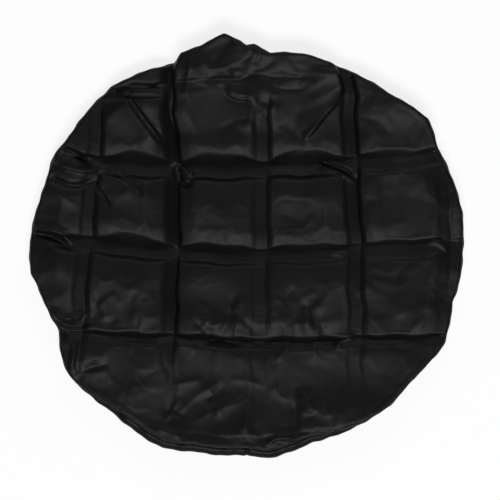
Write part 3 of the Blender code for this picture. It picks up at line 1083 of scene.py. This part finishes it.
class COVER_OT_binding(bpy.types.Operator):
    """Make the tape that binds the turned-in edges of the seam, and the seam's stitches"""

    bl_idname = "cover.binding"
    bl_label = "Seam Binding"

    def execute(self, context):
        trim = context.scene.cover_trim
        angles = np.arange(0, 360, 0.75)
        turn = np.radians(angles)
        seam = seam_radius(angles) - BINDING_INSET
        top = seam_height(angles) - BINDING_DROP
        sway = 0.0004 * np.sin(29 * turn) + 0.0003 * np.sin(47 * turn + 1)
        foot = top - trim.binding_leg
        turn_up = foot + BINDING_TURN
        inner = seam - BINDING_WIDTH + sway
        outer = seam + 0.3 * sway
        middle = (inner + outer) / 2
        section = ((inner, top), (inner, turn_up), (middle, foot), (outer, turn_up), (outer, top))
        tape = ring_sheet("seam_binding_tape", angles, section, trim.tape)
        dress(tape, "woven_tape", "seam_binding")
        line = ring_points(angles, seam - SEAM_STITCH_INSET, top + SEAM_STITCH_LIFT)
        stitches = stitch_row("seam_stitches", line, True)
        dress(stitches, "sewing_thread", "panel_seam_thread")
        return {"FINISHED"}


class COVER_OT_hem(bpy.types.Operator):
    """Make the hem's casing tape and the stitches that close it"""

    bl_idname = "cover.hem"
    bl_label = "Hem"

    def execute(self, context):
        trim = context.scene.cover_trim
        angles = np.arange(0, 360, 0.5)
        turn = np.radians(angles)
        pucker = np.sin(context.scene.cover_band.gathers * turn + 1.6 * np.sin(7 * turn))
        mouth = HEM_RADIUS - trim.hem_width
        high = HEM_HIGH[2] + 0.0003 * pucker
        low = HEM_LOW[2] + trim.tape
        half = (high - low) / 2
        sewn = HEM_RADIUS - HEM_SEAM
        section = [(HEM_RADIUS + 0.0004 * pucker, high - 0.0004), (sewn, high)]
        for bend in np.linspace(0, math.pi, 7):
            radius = mouth + half * (1 - math.sin(bend)) + 0.0004 * pucker
            section.append((radius, low + half + half * math.cos(bend)))
        section += [(sewn, low), (HEM_RADIUS, low)]
        tape = ring_sheet("hem_casing_tape", angles, section, trim.tape)
        dress(tape, "woven_tape", "hem_casing")
        stitches = stitch_row("hem_stitches", ring_points(angles, sewn, high + HEM_STITCH_LIFT), True)
        dress(stitches, "sewing_thread", "hem_thread")
        return {"FINISHED"}


class COVER_OT_elastic(bpy.types.Operator):
    """Make the flat elastic with its overlapped ends and their stitches"""

    bl_idname = "cover.elastic"
    bl_label = "Elastic"

    def execute(self, context):
        trim = context.scene.cover_trim
        low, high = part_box("hem_elastic")
        outer = (high[0] - low[0]) / 2
        inner = outer - trim.elastic_width
        overlap = math.degrees(trim.elastic_overlap / inner)
        angles = np.arange(0, 360 + overlap, 0.5)
        lift = (high[2] - low[2] - trim.elastic) * smooth(358.5, 360.2, angles)
        top = low[2] + trim.elastic + lift
        section = []
        for i in range(RIBS + 1):
            rib = RIB_HEIGHT * math.cos(i * math.pi)
            section.append((inner + trim.elastic_width * i / RIBS, top + rib))
        piece = grid_object("hem_elastic_band", turned_points(angles, section), False)
        thicken(piece, trim.elastic, 1)
        dress(piece, "braided_elastic", "hem_elastic")
        turns = 2 * trim.bartack_turns
        share = np.linspace(0.25, 0.75, turns + 1)
        radius = np.where(np.arange(turns + 1) % 2, outer - BARTACK_INSET, inner + BARTACK_INSET)
        line = ring_points(share * overlap, radius, high[2] + BARTACK_LIFT)
        stitches = stitch_row("bartack_stitches", line, False)
        dress(stitches, "sewing_thread", "elastic_bartack")
        return {"FINISHED"}


class COVER_OT_joins(bpy.types.Operator):
    """Make the stitches down the two lapped ends of the band"""

    bl_idname = "cover.joins"
    bl_label = "Band Joins"

    def execute(self, context):
        for name, angle in LAPS.items():
            line = band_section(np.array([angle - JOIN_INSET]), 0.0)[0][JOIN_ROWS]
            line[:, 2] += JOIN_HEIGHT
            stitches = stitch_row("join_stitches_" + name, line, False)
            dress(stitches, "sewing_thread", "join_thread_" + name)
        return {"FINISHED"}


def area_lamp(name, place, size, power):
    """A soft rectangular lamp that faces the cover."""
    data = bpy.data.lights.new(name, "AREA")
    data.shape = "RECTANGLE"
    data.size, data.size_y = size
    data.energy = power
    lamp = new_object(name, data)
    lamp.location = place
    lamp.rotation_euler = (-Vector(place)).to_track_quat("-Z", "Y").to_euler()


def floor_material(colour):
    """White floor: what the camera and reflections see of it glows, over paint that keeps the shadow."""
    made = bpy.data.materials.new("white_floor")
    made.use_nodes = True
    tree = made.node_tree
    tree.nodes.clear()
    path = tree.nodes.new("ShaderNodeLightPath").outputs
    through = math_node(tree, "MAXIMUM", path["Is Glossy Ray"], path["Is Transmission Ray"])
    seen = math_node(tree, "MAXIMUM", path["Is Camera Ray"], through.outputs["Value"])
    share = math_node(tree, "MULTIPLY", seen.outputs["Value"])
    share.inputs[1].default_value = FLOOR_GLOW
    paint = add_node(tree, "ShaderNodeBsdfDiffuse", Color=(*(0.95 * c for c in colour), 1))
    glow = add_node(tree, "ShaderNodeEmission", Color=(*colour, 1), Strength=1.0)
    mix = tree.nodes.new("ShaderNodeMixShader")
    link(tree, share, "Value", mix, "Fac")
    link(tree, paint, "BSDF", mix, 1)
    link(tree, glow, "Emission", mix, 2)
    link(tree, mix, "Shader", tree.nodes.new("ShaderNodeOutputMaterial"), "Surface")
    return made


class COVER_OT_stage(bpy.types.Operator):
    """Set the floor, the lamps and the camera above the cover"""

    bl_idname = "cover.stage"
    bl_label = "Stage"

    def execute(self, context):
        scene = context.scene
        stage = scene.cover_stage
        scene.view_settings.view_transform = "Standard"
        corners = [(FLOOR_HALF * x, FLOOR_HALF * y, 0) for x, y in ((-1, -1), (1, -1), (1, 1), (-1, 1))]
        floor = mesh_object("floor", corners, [(0, 1, 2, 3)])
        floor.location.z = -FLOOR_DROP
        floor.data.materials.append(floor_material(tuple(stage.background)))
        world = bpy.data.worlds.new("studio")
        world.use_nodes = True
        sky = world.node_tree.nodes["Background"]
        sky.inputs["Color"].default_value = (1, 1, 1, 1)
        sky.inputs["Strength"].default_value = WORLD_STRENGTH
        scene.world = world
        area_lamp("key", KEY_PLACE, KEY_SIZE, stage.key_power)
        area_lamp("fill", FILL_PLACE, FILL_SIZE, stage.fill_power)
        data = bpy.data.cameras.new("camera")
        data.lens = stage.lens
        data.sensor_width = SENSOR_WIDTH
        camera = new_object("camera", data)
        distance = stage.frame_width * data.lens / data.sensor_width
        camera.location = (*CAMERA_OVER, FACE_LEVEL + distance)
        camera.rotation_euler = (0, 0, 0)
        scene.camera = camera
        return {"FINISHED"}


class COVER_PT_sidebar(bpy.types.Panel):
    """Lists the pieces of the cover and their sizes"""

    bl_idname = "COVER_PT_sidebar"
    bl_label = "Spare Tire Cover"
    bl_space_type = "VIEW_3D"
    bl_region_type = "UI"
    bl_category = "Tire Cover"

    def draw(self, context):
        scene = context.scene
        for settings in (scene.cover_face, scene.cover_band, scene.cover_trim, scene.cover_stage):
            box = self.layout.box()
            for name in settings.__annotations__:
                box.prop(settings, name)
        for made in OPERATORS:
            self.layout.operator(made.bl_idname)


OPERATORS = (
    COVER_OT_stage, COVER_OT_face, COVER_OT_band, COVER_OT_binding, COVER_OT_hem, COVER_OT_elastic,
    COVER_OT_joins,
)
CLASSES = (FaceSettings, BandSettings, TrimSettings, StageSettings, *OPERATORS, COVER_PT_sidebar)


def register():
    """Adds the settings, operators and panel to Blender."""
    for made in CLASSES:
        bpy.utils.register_class(made)
    bpy.types.Scene.cover_face = PointerProperty(type=FaceSettings)
    bpy.types.Scene.cover_band = PointerProperty(type=BandSettings)
    bpy.types.Scene.cover_trim = PointerProperty(type=TrimSettings)
    bpy.types.Scene.cover_stage = PointerProperty(type=StageSettings)


def unregister():
    """Takes them out again."""
    del bpy.types.Scene.cover_stage
    del bpy.types.Scene.cover_trim
    del bpy.types.Scene.cover_band
    del bpy.types.Scene.cover_face
    for made in reversed(CLASSES):
        bpy.utils.unregister_class(made)


def main():
    """Makes all the pieces."""
    register()
    bpy.ops.cover.stage()
    bpy.ops.cover.face()
    bpy.ops.cover.band()
    bpy.ops.cover.binding()
    bpy.ops.cover.hem()
    bpy.ops.cover.elastic()
    bpy.ops.cover.joins()


if __name__ == "__main__":
    main()
